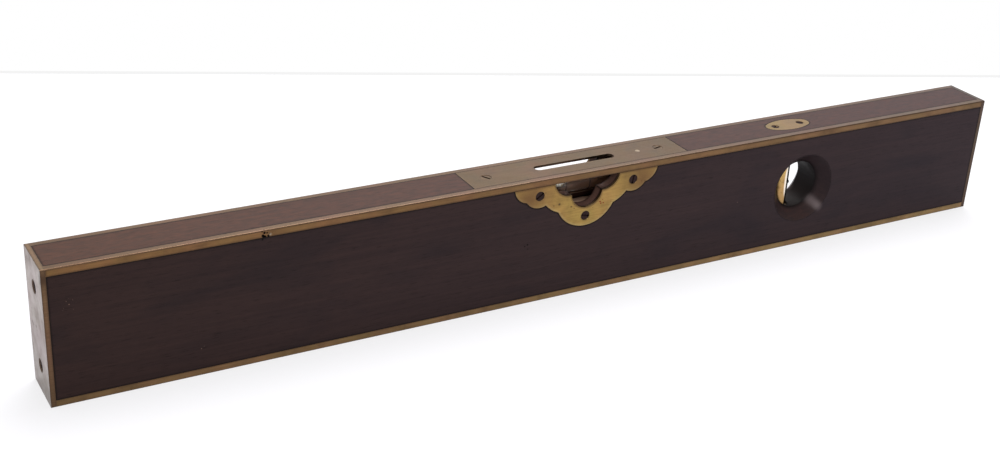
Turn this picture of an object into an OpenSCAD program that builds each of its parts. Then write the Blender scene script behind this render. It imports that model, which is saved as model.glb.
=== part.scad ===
// Plumb and level: a rosewood stock bound in brass, with a level vial that is
// read from above and from both sides, and a plumb vial in a round port.
// X runs along the length, the front face looks along -Y and Z is up.
// The origin is the middle of the sole, on the surface that the level stands on.

/* [Stock] */
// Overall length, with both end plates
stock_l = 660.4; // [600:0.1:760]
// Overall height
stock_h = 82.55; // [79:0.05:92]
// Overall thickness, front to back
stock_w = 33.8; // [32:0.1:40]
// Length of the mortise that the level vial hangs in
mortise_l = 106; // [104:0.5:110]
// Width of that mortise
mortise_w = 18; // [16.5:0.1:20]
// Depth of the mortise floor below the top face
mortise_drop = 29.5; // [27.5:0.1:34]

/* [Bindings and end plates] */
// Side of the square brass rod let into each long edge
rod_w = 4.25; // [3.5:0.05:5]
// Worn radius on the outer brass edges
worn_r = 0.8; // [0.2:0.05:1.5]
// Thickness of an end plate
end_t = 2.8; // [2.2:0.1:5]
// Distance of each end screw from the nearer long edge
end_screw_in = 17.4; // [12:0.1:24]
// Head diameter of an end screw
end_head_d = 7; // [6.5:0.1:8.4]
// Shank diameter of an end screw
end_shank_d = 4.2; // [3.5:0.1:5]
// Length of an end screw
end_screw_l = 30; // [20:1:45]
// Depth of an end screw's head below the plate's face
end_sink = 0.6; // [0.2:0.05:0.8]

/* [Top plate] */
// Length of the plate over the level vial
top_l = 152.4; // [146:0.1:170]
// Thickness of that plate
top_t = 1.5; // [1.5:0.1:3]
// Length of the sight slot
slot_l = 56.8; // [40:0.1:60]
// Width of the sight slot
slot_w = 6.3; // [4:0.1:9]
// Distance of each top screw from the plate's end
top_screw_in = 14.2; // [8:0.1:15]
// Head diameter of a top screw
top_head_d = 6.4; // [5:0.1:7.2]
// Shank diameter of a top screw
top_shank_d = 3.4; // [2.8:0.1:4]
// Length of a top screw
top_screw_l = 22; // [14:1:28]

/* [Side plates] */
// Thickness of a side plate
side_t = 1.6; // [1.6:0.1:2.6]
// Radius of the plate's bottom lobe
belly_r = 21.9; // [18:0.1:24]
// Depth of that lobe's centre below the top face
belly_drop = 13.85; // [12:0.05:16]
// Half the distance between the two shoulder lobes
shoulder_x = 12.2; // [10:0.1:14]
// Depth of the shoulder centres below the top face
shoulder_drop = 2.55; // [1.5:0.05:4]
// Radius of the shoulder lobes
shoulder_r = 22.3; // [20:0.1:24]
// Half the distance between the two ear lobes
ear_x = 33.5; // [31:0.1:36]
// Depth of the ear centres below the top face
ear_drop = 7.45; // [6:0.05:9]
// Radius of the ear lobes
ear_r = 10.7; // [9:0.1:13]
// Half the distance between the two tip lobes
tip_x = 40.6; // [38:0.1:43]
// Depth of the tip centres below the top face
tip_drop = 2.95; // [2:0.05:4]
// Radius of the tip lobes
tip_r = 10.6; // [9:0.1:12]
// Radius of the window's bottom lobe
sight_r = 11; // [8:0.1:12]
// Depth of that lobe's centre below the top face
sight_drop = 12.35; // [11:0.05:14]
// Width of the brass between the window and the shoulder's edge
shoulder_band = 11.2; // [9:0.1:14]
// Head diameter of a side screw
side_head_d = 5.7; // [4.4:0.1:5.8]
// Shank diameter of a side screw
side_shank_d = 2.6; // [2.6:0.1:3.2]
// Depth of the ear screws below the top face
ear_screw_drop = 10.45; // [9.5:0.05:13]
// Depth of the belly screw below the top face
belly_screw_drop = 29.15; // [27:0.05:31]
// Wood left between a side screw's point and the mortise
side_screw_left = 0.9; // [0.3:0.1:3]

/* [Plumb port] */
// Distance of the port's centre from the right-hand end
port_in = 156.8; // [140:0.1:190]
// Depth of the port's centre below the top face
port_drop = 40.65; // [38:0.05:44]
// Radius of the port's straight waist
port_r = 16.3; // [14:0.1:18]
// Radius of the flared mouth on each face
mouth_r = 23.8; // [20:0.1:26]
// Depth of the flare on each face
flare_t = 7.9; // [5:0.1:9]

/* [Plumb vial and cover] */
// Distance of the vial's axis from the port's centre, towards the middle
plumb_shift = 6.7; // [4:0.1:8]
// Outer diameter of the plumb vial
plumb_d = 11.6; // [9:0.1:12]
// Length of the plumb vial
plumb_l = 50.8; // [44:0.1:54]
// Length of the bubble in it
plumb_bubble_l = 11; // [9:0.5:14]
// Length of the oval cover
cover_l = 34; // [32:0.1:40]
// Width of the oval cover
cover_w = 16; // [15:0.1:20]
// Radius of the cover's ends
cover_end_r = 5; // [3:0.1:7]
// Thickness of the cover
cover_t = 1.8; // [1.5:0.1:2.6]
// Distance between the cover's screws
cover_screws = 20.4; // [20:0.1:24]
// Head diameter of a cover screw
cover_head_d = 5; // [4:0.1:5.2]
// Shank diameter of a cover screw
cover_shank_d = 2.4; // [2.2:0.1:2.6]
// Length of a cover screw
cover_screw_l = 13; // [8:0.5:16]

/* [Level vial] */
// Outer diameter of the level vial
vial_d = 12.7; // [11.5:0.1:13.5]
// Length of the level vial
vial_l = 70; // [66:0.1:72]
// Depth of the vial's axis below the top face
vial_drop = 12.95; // [12.5:0.05:15]
// Length of the bubble in it
bubble_l = 16; // [11:0.5:20]
// Depth of both bubbles, across the vial
bubble_t = 2.2; // [1.5:0.1:3]
// Glass thickness of both vials
glass_t = 1.4; // [1:0.05:1.8]
// Radius of the sealed ends of both vials
glass_end_r = 3; // [2:0.1:4]

/* [Vial cases] */
// Wall of the brass cases
case_t = 0.85; // [0.6:0.05:1.1]
// Thickness of the plaster round a vial
bed_t = 0.4; // [0.3:0.05:0.6]
// Thickness of the plaster behind a vial's end
plug_t = 2.8; // [1.5:0.1:3]
// End wall of a case
cap_t = 1.2; // [0.8:0.1:1.4]
// How far a case is open past each end of the slot, and past the port
sight_past = 1.6; // [0.5:0.1:2.5]
// Height of the strap that joins the two ends of the level case
strap_rise = 2.8; // [2:0.1:4]
// Bead round each end of the level case
bead_t = 0.5; // [0.2:0.05:0.8]
// Length of that bead
bead_l = 2; // [1:0.1:4]

/* [Hinge and adjustment] */
// Distance from the middle to the hinge, and to the adjusting screw
arm_x = 46.5; // [45.5:0.1:47]
// Diameter of the hinge pin
pin_d = 2.5; // [2:0.1:3]
// How far the pin's riveted ends stand out, and how wide their rim is
pin_rivet = 0.6; // [0.3:0.1:1]
// Radius of the case's lug and of the bracket's ears round the pin
lug_r = 3.4; // [2.8:0.1:4]
// Width of the lug between the ears
lug_w = 6; // [4:0.1:7]
// Thickness of a bracket ear
ear_t = 1.6; // [1:0.1:2]
// Thickness of the bracket's foot
foot_t = 1.6; // [1:0.1:2]
// Length of the bracket's foot
foot_l = 12; // [8:0.1:12]
// Width of the bracket's foot
foot_w = 13; // [12:0.1:14.5]
// Thickness of the tongue that rides on the adjusting screw
tongue_t = 2.2; // [1.6:0.1:3]
// Radius of the tongue's round end
tongue_r = 4.8; // [4.5:0.1:5.2]
// Diameter of the adjusting screw
adjust_d = 3.2; // [2.8:0.1:3.6]
// Length of the adjusting screw, from the top face down
adjust_l = 26; // [23:0.1:27]
// Diameter of its journal in the top plate
journal_d = 2.4; // [2:0.1:2.8]
// Diameter of its riveted end, flush with the top plate
rivet_d = 3.4; // [3:0.1:4]
// Diameter of the collar under the plate
collar_d = 5.8; // [4.6:0.1:6]
// Thickness of that collar
collar_t = 1.1; // [0.8:0.1:1.6]
// Diameter of the screw's milled head
milled_d = 6.4; // [5:0.1:8]
// Height of the milled head
milled_h = 3; // [2:0.1:4]
// Number of notches round the milled head
milled_n = 16; // [10:1:20]
// Radius of each notch
notch_r = 0.35; // [0.2:0.05:0.4]
// Wire diameter of the spring
wire_d = 0.8; // [0.6:0.05:0.9]
// Coil diameter of the spring, middle of wire to middle of wire
coil_d = 7.6; // [7.4:0.1:7.8]
// Number of turns in the spring
coil_n = 5; // [3:0.5:6]

/* [Screw slots and fits] */
// Width of the slot in a screw head, as a share of the head's diameter
driver_share = 0.2; // [0.14:0.01:0.22]
// Depth of the slot in a screw head
driver_t = 0.8; // [0.4:0.1:1]
// Depth of the other screws' heads below their plates
screw_sink = 0.2; // [0.1:0.05:0.3]
// Gap round a plate in its recess
inlay_gap = 0.2; // [0.05:0.01:0.3]
// Gap round a screw, and under a spring's end
screw_gap = 0.05; // [0.02:0.01:0.1]
// Running gap round the hinge pin and the adjusting screw
run_gap = 0.08; // [0.03:0.01:0.1]
// Gap at each side of the lug
side_gap = 0.2; // [0.1:0.05:0.4]
// Gap between a vial's glass and its plaster or spirit
wet_gap = 0.02; // [0.01:0.01:0.05]
// Gap round a bubble
bubble_gap = 0.1; // [0.05:0.01:0.2]
// Gap round the plumb case in its bore
bore_gap = 0.2; // [0.1:0.05:0.5]

/* [Hidden] */
$fn = 128;

// Cuts run this far past a face
past = 1;
// Directions of the screw slots, in degrees from the X axis of each head
end_turns = [-20, 65];
top_turns = [-63, 13];
side_turns = [35, -15, 80];
cover_turns = [20, -35];
// Angle between the rings of the spring's wire, and the number of its sides
coil_step = 45;
wire_sides = 6;

// Length of the wood between the end plates
wood_l = stock_l - 2 * end_t;
// Clear width between the bindings
inner_w = stock_w - 2 * rod_w;
// Width of the top plate
top_w = inner_w - 2 * inlay_gap;
// Underside of the top bindings
rod_z = stock_h - rod_w;
// Wood and brass between a face and the mortise
cheek_t = (stock_w - mortise_w) / 2;
side_screw_l = cheek_t - side_screw_left - screw_sink;
// Places of the port and of the plumb vial
port_x = stock_l / 2 - port_in;
port_z = stock_h - port_drop;
plumb_x = port_x - plumb_shift;
// Radii of the plumb case
plumb_in_r = plumb_d / 2 + bed_t;
plumb_out_r = plumb_in_r + case_t;
// Half length of the plumb case's open side, a little past the port
plumb_open = port_r + sight_past;
plumb_foot_z = port_z - plumb_l / 2 - plug_t - cap_t;
plumb_head_z = stock_h - cover_t;
// Axis of the level vial, and radii of its case
vial_z = stock_h - vial_drop;
case_in_r = vial_d / 2 + bed_t;
case_out_r = case_in_r + case_t;
case_half = vial_l / 2 + plug_t + cap_t;
case_open = slot_l / 2 + sight_past;
// The lug and the tongue are rooted halfway into the case's end walls
case_root = case_half - cap_t / 2;
plate_z = stock_h - top_t;
tongue_top = vial_z + tongue_t / 2;
// Furthest that each bubble gets from the middle of its vial, in the bore's
// straight part. The plumb bubble rests there, at the vial's upper end.
bubble_reach = vial_l / 2 - glass_end_r - bubble_l / 2;
plumb_bubble_reach = plumb_l / 2 - glass_end_r - plumb_bubble_l / 2;

wood_c = "#46302f";
brass_c = "#a08458";
plate_c = "#8a7764";
screw_c = "#3f3230";
glass_c = [0.85, 0.92, 0.9, 0.35];
spirit_c = [0.95, 0.93, 0.7, 0.5];
bubble_c = "#f4f6f6";
plaster_c = "#e8e2d6";
steel_c = "#7a7876";

// Screws and their holes. The face that a screw goes into is at the origin,
// the head's top lies sink below it and the shank points along -Z.

// A slot across a head, deep below the origin
module driver_slot(head_d, deep) {
    wid = driver_share * head_d;
    translate([-head_d, -wid / 2, -deep]) cube([2 * head_d, wid, deep + past]);
}

module wood_screw(head_d, shank_d, len, sink = screw_sink) {
    head_h = (head_d - shank_d) / 2;
    point_h = 2 * shank_d;
    translate([0, 0, -sink])
        difference() {
            rotate_extrude()
                polygon([
                    [0, 0], [head_d / 2, 0], [shank_d / 2, -head_h],
                    [shank_d / 2, point_h - len], [0, -len]
                ]);
            driver_slot(head_d, driver_t);
        }
}

module screw_hole(head_d, shank_d, len, sink = screw_sink) {
    head_h = (head_d - shank_d) / 2;
    point_h = 2 * shank_d;
    seat_r = head_d / 2 + screw_gap;
    hole_r = shank_d / 2 + screw_gap;
    translate([0, 0, -sink])
        rotate_extrude()
            polygon([
                [0, sink + past], [seat_r + sink, sink + past], [seat_r + sink, sink],
                [seat_r, 0], [hole_r, -head_h], [hole_r, point_h - len],
                [0, -len - screw_gap]
            ]);
}

module at_end_screws(side) {
    for (i = [0, 1])
        translate([side * stock_l / 2, 0, i == 0 ? end_screw_in : stock_h - end_screw_in])
            rotate([0, 90 * side, 0])
                rotate([0, 0, end_turns[i]])
                    children();
}

module at_top_screws() {
    for (i = [0, 1])
        translate([(2 * i - 1) * (top_l / 2 - top_screw_in), 0, stock_h])
            rotate([0, 0, top_turns[i]])
                children();
}

module at_side_screws(front) {
    places = [[-ear_x, ear_screw_drop], [0, belly_screw_drop], [ear_x, ear_screw_drop]];
    for (i = [0 : 2])
        translate([places[i][0], front * -stock_w / 2, stock_h - places[i][1]])
            rotate([90 * front, 0, 0])
                rotate([0, 0, side_turns[i]])
                    children();
}

module at_cover_screws() {
    for (i = [0, 1])
        translate([plumb_x + (2 * i - 1) * cover_screws / 2, 0, stock_h])
            rotate([0, 0, cover_turns[i]])
                children();
}

module end_screw_holes(side) {
    at_end_screws(side) screw_hole(end_head_d, end_shank_d, end_screw_l, end_sink);
}

module top_screw_holes() {
    at_top_screws() screw_hole(top_head_d, top_shank_d, top_screw_l);
}

module side_screw_holes(front) {
    at_side_screws(front) screw_hole(side_head_d, side_shank_d, side_screw_l);
}

module cover_screw_holes() {
    at_cover_screws() screw_hole(cover_head_d, cover_shank_d, cover_screw_l);
}

// Outlines

// A section across the level, drawn in Y and Z, runs along X
module run_along_x(len) {
    rotate([90, 0, 90])
        translate([0, 0, -len / 2])
            linear_extrude(len)
                children();
}

// An outline in X and Z goes into the front face to a depth
module into_front(depth, out = 0) {
    translate([0, depth - stock_w / 2, 0])
        rotate([90, 0, 0])
            linear_extrude(depth + out)
                children();
}

// The same for the face that front names: 1 is the front, -1 the rear
module into_face(front, depth, out = 0) {
    if (front == 1)
        into_front(depth, out) children();
    else
        mirror([0, 1, 0]) into_front(depth, out) children();
}

module round_box(w, h, r) {
    translate([-w / 2 + r, -h / 2]) square([w - 2 * r, h]);
    translate([-w / 2, -h / 2 + r]) square([w, h - 2 * r]);
    for (x = [-1, 1], y = [-1, 1])
        translate([x * (w / 2 - r), y * (h / 2 - r)]) circle(r);
}

// A slot with round ends, along X
module round_slot(len, wid) {
    square([len - wid, wid], center = true);
    for (x = [-1, 1])
        translate([x * (len - wid) / 2, 0]) circle(wid / 2);
}

// An oval of four arcs that run into each other
module oval(len, wid, end_r) {
    end_x = len / 2 - end_r;
    half_w = wid / 2;
    flank_r = (end_x * end_x + half_w * half_w - end_r * end_r) / (2 * (half_w - end_r));
    flank_y = flank_r - half_w;
    join_x = end_x * flank_r / (flank_r - end_r);
    intersection() {
        translate([0, -flank_y]) circle(flank_r, $fn = 512);
        translate([0, flank_y]) circle(flank_r, $fn = 512);
        square([2 * join_x, wid + past], center = true);
    }
    for (x = [-1, 1])
        translate([x * end_x, 0]) circle(end_r);
}

// A disc in X and Z, placed by its distance from the middle and below the top
module lobe(x, drop, r) {
    for (s = x == 0 ? [1] : [-1, 1])
        translate([s * x, stock_h - drop]) circle(r);
}

module below_rod(gap = 0) {
    intersection() {
        children();
        translate([-top_l / 2, 0]) square([top_l, rod_z - gap]);
    }
}

// The plate's outline, or with grow that of its recess
module side_outline(grow = 0) {
    below_rod(inlay_gap - grow) {
        lobe(0, belly_drop, belly_r + grow);
        lobe(shoulder_x, shoulder_drop, shoulder_r + grow);
        lobe(ear_x, ear_drop, ear_r + grow);
        lobe(tip_x, tip_drop, tip_r + grow);
    }
}

module sight_outline() {
    below_rod() {
        lobe(0, sight_drop, sight_r);
        lobe(shoulder_x, shoulder_drop, shoulder_r - shoulder_band);
    }
}

// Wood

module stock_section() {
    difference() {
        translate([-stock_w / 2, 0]) square([stock_w, stock_h]);
        for (y = [-1, 1], z = [0, 1])
            translate([y * (stock_w - rod_w) / 2, z * stock_h + (1 - 2 * z) * rod_w / 2])
                square(rod_w, center = true);
    }
}

module port_cut() {
    half_w = stock_w / 2;
    translate([port_x, 0, port_z])
        rotate([90, 0, 0])
            rotate_extrude()
                polygon([
                    [0, -half_w - past], [mouth_r, -half_w - past], [mouth_r, -half_w],
                    [port_r, flare_t - half_w], [port_r, half_w - flare_t],
                    [mouth_r, half_w], [mouth_r, half_w + past], [0, half_w + past]
                ]);
}

module plumb_bore() {
    translate([plumb_x, 0, plumb_foot_z - bore_gap])
        cylinder(h = stock_h - plumb_foot_z + past, r = plumb_out_r + bore_gap);
}

module cover_recess() {
    translate([plumb_x, 0, stock_h - cover_t])
        linear_extrude(cover_t + past)
            oval(cover_l + 2 * inlay_gap, cover_w + 2 * inlay_gap, cover_end_r + inlay_gap);
}

module top_recess() {
    recess_l = top_l + 2 * inlay_gap;
    translate([-recess_l / 2, -inner_w / 2, plate_z])
        cube([recess_l, inner_w, top_t + past]);
}

module mortise() {
    translate([-mortise_l / 2, -mortise_w / 2, stock_h - mortise_drop])
        cube([mortise_l, mortise_w, mortise_drop]);
}

module stock() {
    color(wood_c)
        difference() {
            run_along_x(wood_l) stock_section();
            top_recess();
            mortise();
            into_front(stock_w + past, past) sight_outline();
            for (front = [1, -1]) {
                into_face(front, side_t, past) side_outline(inlay_gap);
                side_screw_holes(front);
            }
            port_cut();
            plumb_bore();
            cover_recess();
            top_screw_holes();
            cover_screw_holes();
            end_screw_holes(-1);
            end_screw_holes(1);
        }
}

// Brass on the outside

// The rod's outer corner, rounded by wear, lies at the origin
module rod_section() {
    translate([worn_r, 0]) square([rod_w - worn_r, rod_w]);
    translate([0, worn_r]) square([rod_w, rod_w - worn_r]);
    translate([worn_r, worn_r]) circle(worn_r);
}

// front is 1 for the front face and -1 for the rear, top is 1 or 0
module binding(front, top) {
    color(brass_c)
        translate([0, -front * stock_w / 2, top * stock_h])
            run_along_x(wood_l)
                rotate(top == 0 ? (front == 1 ? 0 : 90) : (front == 1 ? -90 : 180))
                    rod_section();
}

module end_plate(side) {
    color(plate_c)
        difference() {
            translate([side * (stock_l - end_t) / 2, 0, stock_h / 2])
                run_along_x(end_t) round_box(stock_w, stock_h, worn_r);
            end_screw_holes(side);
        }
}

module end_plate_screws() {
    color(screw_c)
        for (side = [-1, 1])
            at_end_screws(side)
                wood_screw(end_head_d, end_shank_d, end_screw_l, end_sink);
}

// Hole for the journal of the adjusting screw, countersunk for its riveted end
module journal_hole() {
    hole_r = journal_d / 2 + run_gap;
    rivet_r = rivet_d / 2 + run_gap;
    translate([arm_x, 0, stock_h])
        rotate_extrude()
            polygon([
                [0, past], [rivet_r, past], [rivet_r, 0], [hole_r, hole_r - rivet_r],
                [hole_r, -top_t - past], [0, -top_t - past]
            ]);
}

module top_plate() {
    color(plate_c)
        difference() {
            translate([-top_l / 2, -top_w / 2, plate_z]) cube([top_l, top_w, top_t]);
            translate([0, 0, plate_z - past])
                linear_extrude(top_t + 2 * past) round_slot(slot_l, slot_w);
            top_screw_holes();
            journal_hole();
        }
}

module top_plate_screws() {
    color(plate_c) at_top_screws() wood_screw(top_head_d, top_shank_d, top_screw_l);
}

module side_plate(front) {
    color(brass_c)
        difference() {
            into_face(front, side_t)
                difference() {
                    side_outline();
                    sight_outline();
                }
            side_screw_holes(front);
        }
}

module side_plate_screws() {
    color(screw_c)
        for (front = [1, -1])
            at_side_screws(front) wood_screw(side_head_d, side_shank_d, side_screw_l);
}

module plumb_cover() {
    color(brass_c)
        difference() {
            translate([plumb_x, 0, stock_h - cover_t])
                linear_extrude(cover_t) oval(cover_l, cover_w, cover_end_r);
            cover_screw_holes();
        }
}

module plumb_cover_screws() {
    color(screw_c) at_cover_screws() wood_screw(cover_head_d, cover_shank_d, cover_screw_l);
}

// Vials. Each lies along X about the origin, and its bubble is on the +Z side.

// Half of a round-ended bar's section, to be turned round its long axis
module bar_half(len, r, end_r) {
    translate([0, -len / 2]) square([r - end_r, len]);
    translate([0, end_r - len / 2]) square([r, len - 2 * end_r]);
    for (z = [-1, 1])
        intersection() {
            translate([r - end_r, z * (len / 2 - end_r)]) circle(end_r);
            translate([0, -len / 2]) square([r, len]);
        }
}

module turned_bar(len, r, end_r) {
    rotate([0, 90, 0]) rotate_extrude() bar_half(len, r, end_r);
}

module vial_glass(d, len) {
    difference() {
        turned_bar(len, d / 2, glass_end_r);
        turned_bar(len - 2 * glass_t, d / 2 - glass_t, glass_end_r - glass_t);
    }
}

// A sausage that lies above the vial's axis and dips bubble_t into its bore
module bubble_tool(d, len, grow) {
    bore_r = d / 2 - glass_t;
    tool_r = bore_r - bubble_t / 2;
    straight = len - 2 * tool_r;
    translate([0, 0, bore_r - bubble_t + tool_r]) {
        rotate([0, 90, 0]) cylinder(h = straight, r = tool_r + grow, center = true);
        for (x = [-1, 1])
            translate([x * straight / 2, 0, 0]) sphere(tool_r + grow);
    }
}

module vial_bubble(d, len) {
    intersection() {
        bubble_tool(d, len, 0);
        turned_bar(2 * len, d / 2 - glass_t - bubble_gap, glass_end_r - glass_t);
    }
}

// The spirit leaves a groove free along the bubble's whole way
module vial_spirit(d, len, bubble, reach) {
    difference() {
        turned_bar(
            len - 2 * (glass_t + wet_gap),
            d / 2 - glass_t - wet_gap,
            glass_end_r - glass_t
        );
        bubble_tool(d, bubble + 2 * reach, bubble_gap);
    }
}

// Plaster fills the case round both ends of a vial, where the case is closed
module vial_plaster(d, len, open) {
    fill_l = plug_t + len / 2 - open;
    for (x = [-1, 1])
        difference() {
            translate([x * (open + fill_l / 2), 0, 0])
                rotate([0, 90, 0])
                    cylinder(h = fill_l, r = d / 2 + bed_t - wet_gap, center = true);
            turned_bar(len + 2 * wet_gap, d / 2 + wet_gap, glass_end_r);
        }
}

// Level vial and its case

module at_level() {
    translate([0, 0, vial_z]) children();
}

module level_vial() {
    color(glass_c) at_level() vial_glass(vial_d, vial_l);
}

module level_spirit() {
    color(spirit_c)
        at_level() vial_spirit(vial_d, vial_l, bubble_l, bubble_reach);
}

module level_bubble() {
    color(bubble_c) at_level() vial_bubble(vial_d, bubble_l);
}

module level_vial_plaster() {
    color(plaster_c) at_level() vial_plaster(vial_d, vial_l, case_open);
}

module case_shell() {
    rotate([0, 90, 0])
        rotate_extrude() {
            difference() {
                translate([0, -case_half]) square([case_out_r, 2 * case_half]);
                translate([0, cap_t - case_half]) square([case_in_r, 2 * (case_half - cap_t)]);
            }
            for (z = [-1, 1])
                translate([case_out_r, z * (case_half - bead_l / 2)])
                    square([2 * bead_t, bead_l], center = true);
        }
}

// The case is open above the strap, so that the vial shows from the top and the sides
module case_opening() {
    open_h = 2 * case_out_r - strap_rise;
    translate([0, 0, strap_rise - case_out_r + open_h])
        rotate([90, 0, 0])
            translate([0, 0, -case_out_r - past])
                linear_extrude(2 * (case_out_r + past))
                    round_box(2 * case_open, 2 * open_h, strap_rise);
}

module level_vial_case() {
    color(brass_c)
        at_level()
            difference() {
                union() {
                    difference() {
                        case_shell();
                        case_opening();
                    }
                    case_lug();
                    case_tongue();
                }
                translate([-arm_x, 0, 0])
                    rotate([90, 0, 0])
                        cylinder(h = lug_w + past, r = pin_d / 2 + run_gap, center = true);
                translate([arm_x, 0, 0])
                    cylinder(h = tongue_t + past, r = adjust_d / 2 + run_gap, center = true);
            }
}

// Lug on the case's left end, for the hinge pin
module case_lug() {
    translate([-arm_x, 0, 0]) {
        rotate([90, 0, 0]) cylinder(h = lug_w, r = lug_r, center = true);
        translate([0, -lug_w / 2, -lug_r]) cube([arm_x - case_root, lug_w, 2 * lug_r]);
    }
}

// Tongue on its right end, for the adjusting screw
module case_tongue() {
    translate([0, 0, -tongue_t / 2])
        linear_extrude(tongue_t) {
            translate([arm_x, 0]) circle(tongue_r);
            translate([case_root, -tongue_r]) square([arm_x - case_root, 2 * tongue_r]);
        }
}

// Bracket under the top plate: a foot and two ears that hold the pin
module level_hinge_bracket() {
    foot_z = plate_z - foot_t;
    ear_y = lug_w / 2 + side_gap;
    color(brass_c)
        translate([-arm_x, 0, 0])
            difference() {
                union() {
                    translate([-foot_l / 2, -foot_w / 2, foot_z]) cube([foot_l, foot_w, foot_t]);
                    for (y = [-1, 1])
                        translate([0, y * (ear_y + ear_t / 2), vial_z]) {
                            rotate([90, 0, 0]) cylinder(h = ear_t, r = lug_r, center = true);
                            translate([-lug_r, -ear_t / 2, 0])
                                cube([2 * lug_r, ear_t, foot_z - vial_z]);
                        }
                }
                translate([0, 0, vial_z])
                    rotate([90, 0, 0])
                        cylinder(h = foot_w + past, r = pin_d / 2 + screw_gap, center = true);
            }
}

// The pin's two ends are riveted over the ears
module level_hinge_pin() {
    grip = lug_w + 2 * (side_gap + ear_t);
    color(steel_c)
        translate([-arm_x, 0, vial_z])
            rotate([90, 0, 0]) {
                cylinder(h = grip, r = pin_d / 2, center = true);
                for (z = [-1, 1])
                    translate([0, 0, z * (grip + pin_rivet) / 2])
                        cylinder(h = pin_rivet, r = pin_d / 2 + pin_rivet, center = true);
            }
}

// Notches round the milled head, for the fingers
module milled_notches() {
    for (i = [1 : milled_n])
        rotate((i - 0.5) * 360 / milled_n)
            translate([milled_d / 2, 0, -adjust_l - past])
                cylinder(h = milled_h + 2 * past, r = notch_r, $fn = 6);
}

// The screw turns in the top plate, between its riveted end and its collar
module level_adjusting_screw() {
    under = -top_t - run_gap;
    head_z = milled_h - adjust_l;
    color(plate_c)
        translate([arm_x, 0, stock_h])
            difference() {
                rotate_extrude()
                    polygon([
                        [0, 0], [rivet_d / 2, 0], [journal_d / 2, (journal_d - rivet_d) / 2],
                        [journal_d / 2, under], [collar_d / 2, under],
                        [collar_d / 2, under - collar_t], [adjust_d / 2, under - collar_t],
                        [adjust_d / 2, head_z], [milled_d / 2, head_z],
                        [milled_d / 2, -adjust_l], [0, -adjust_l]
                    ]);
                milled_notches();
                translate([0, 0, -adjust_l]) mirror([0, 0, 1]) driver_slot(milled_d, driver_t);
            }
}

// Spring: one wire wound round the collar, from the tongue up to the plate

coil_low = tongue_top + wire_d / 2 + screw_gap;
coil_high = plate_z - wire_d / 2 - screw_gap;
coil_rings = floor(coil_n * 360 / coil_step);
coil_rise = (coil_high - coil_low) / coil_rings;
coil_lean = atan2(coil_rise, coil_d / 2 * coil_step * PI / 180);

// One point of the ring that stands across the wire at ring i
function wire_point(i, k) =
    let (
        a = i * coil_step,
        b = k * 360 / wire_sides,
        out = coil_d / 2 + wire_d / 2 * cos(b),
        up = wire_d / 2 * sin(b)
    ) [
        out * cos(a) + up * sin(coil_lean) * sin(a),
        out * sin(a) - up * sin(coil_lean) * cos(a),
        coil_low + i * coil_rise + up * cos(coil_lean)
    ];

module level_spring() {
    ring = function(i, k) i * wire_sides + k % wire_sides;
    points = [for (i = [0 : coil_rings], k = [0 : wire_sides - 1]) wire_point(i, k)];
    skin = [
        for (i = [0 : coil_rings - 1], k = [0 : wire_sides - 1], half = [0, 1])
            half == 0
                ? [ring(i, k), ring(i + 1, k + 1), ring(i + 1, k)]
                : [ring(i, k), ring(i, k + 1), ring(i + 1, k + 1)]
    ];
    start = [for (k = [1 : wire_sides - 2]) [ring(0, 0), ring(0, k + 1), ring(0, k)]];
    stop = [
        for (k = [1 : wire_sides - 2])
            [ring(coil_rings, 0), ring(coil_rings, k), ring(coil_rings, k + 1)]
    ];
    color(steel_c)
        translate([arm_x, 0, 0])
            polyhedron(points, concat(skin, start, stop));
}

// Plumb vial and its case. The vial stands upright, and the side that its
// bubble runs along faces away from the brass half tube.

module at_plumb() {
    translate([plumb_x, 0, port_z]) rotate([0, 90, 0]) children();
}

module plumb_vial() {
    color(glass_c) at_plumb() vial_glass(plumb_d, plumb_l);
}

module plumb_spirit() {
    color(spirit_c)
        at_plumb() vial_spirit(plumb_d, plumb_l, plumb_bubble_l, plumb_bubble_reach);
}

module plumb_bubble() {
    color(bubble_c)
        at_plumb()
            translate([-plumb_bubble_reach, 0, 0]) vial_bubble(plumb_d, plumb_bubble_l);
}

module plumb_vial_plaster() {
    color(plaster_c) at_plumb() vial_plaster(plumb_d, plumb_l, plumb_open);
}

// A tube from the cover down to its closed foot, cut to half its round at the port
module plumb_vial_case() {
    color(brass_c)
        translate([plumb_x, 0, 0])
            difference() {
                translate([0, 0, plumb_foot_z])
                    cylinder(h = plumb_head_z - plumb_foot_z, r = plumb_out_r);
                translate([0, 0, plumb_foot_z + cap_t])
                    cylinder(h = plumb_head_z - plumb_foot_z, r = plumb_in_r);
                translate([0, -plumb_out_r - past, port_z - plumb_open])
                    cube([plumb_out_r + past, 2 * (plumb_out_r + past), 2 * plumb_open]);
            }
}

stock();
binding(1, 1);  // front_top_binding
binding(-1, 1);  // rear_top_binding
binding(1, 0);  // front_sole_binding
binding(-1, 0);  // rear_sole_binding
end_plate(-1);  // left_end_plate
end_plate(1);  // right_end_plate
end_plate_screws();
top_plate();
top_plate_screws();
side_plate(1);  // front_side_plate
side_plate(-1);  // rear_side_plate
side_plate_screws();
plumb_cover();
plumb_cover_screws();
level_vial();
level_spirit();
level_bubble();
level_vial_plaster();
level_vial_case();
level_hinge_bracket();
level_hinge_pin();
level_adjusting_screw();
level_spring();
plumb_vial();
plumb_spirit();
plumb_bubble();
plumb_vial_plaster();
plumb_vial_case();
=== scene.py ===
"""Looks of a brass-bound rosewood plumb and level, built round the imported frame.

The file is laid out as a Blender add-on and is run as a script. Sizes are in metres: the sole
lies at z = 0, the length runs along X and the front face looks along -Y. Each operator dresses
one piece, or one group of like pieces, and the last one sets the stage.
"""

import math

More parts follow.
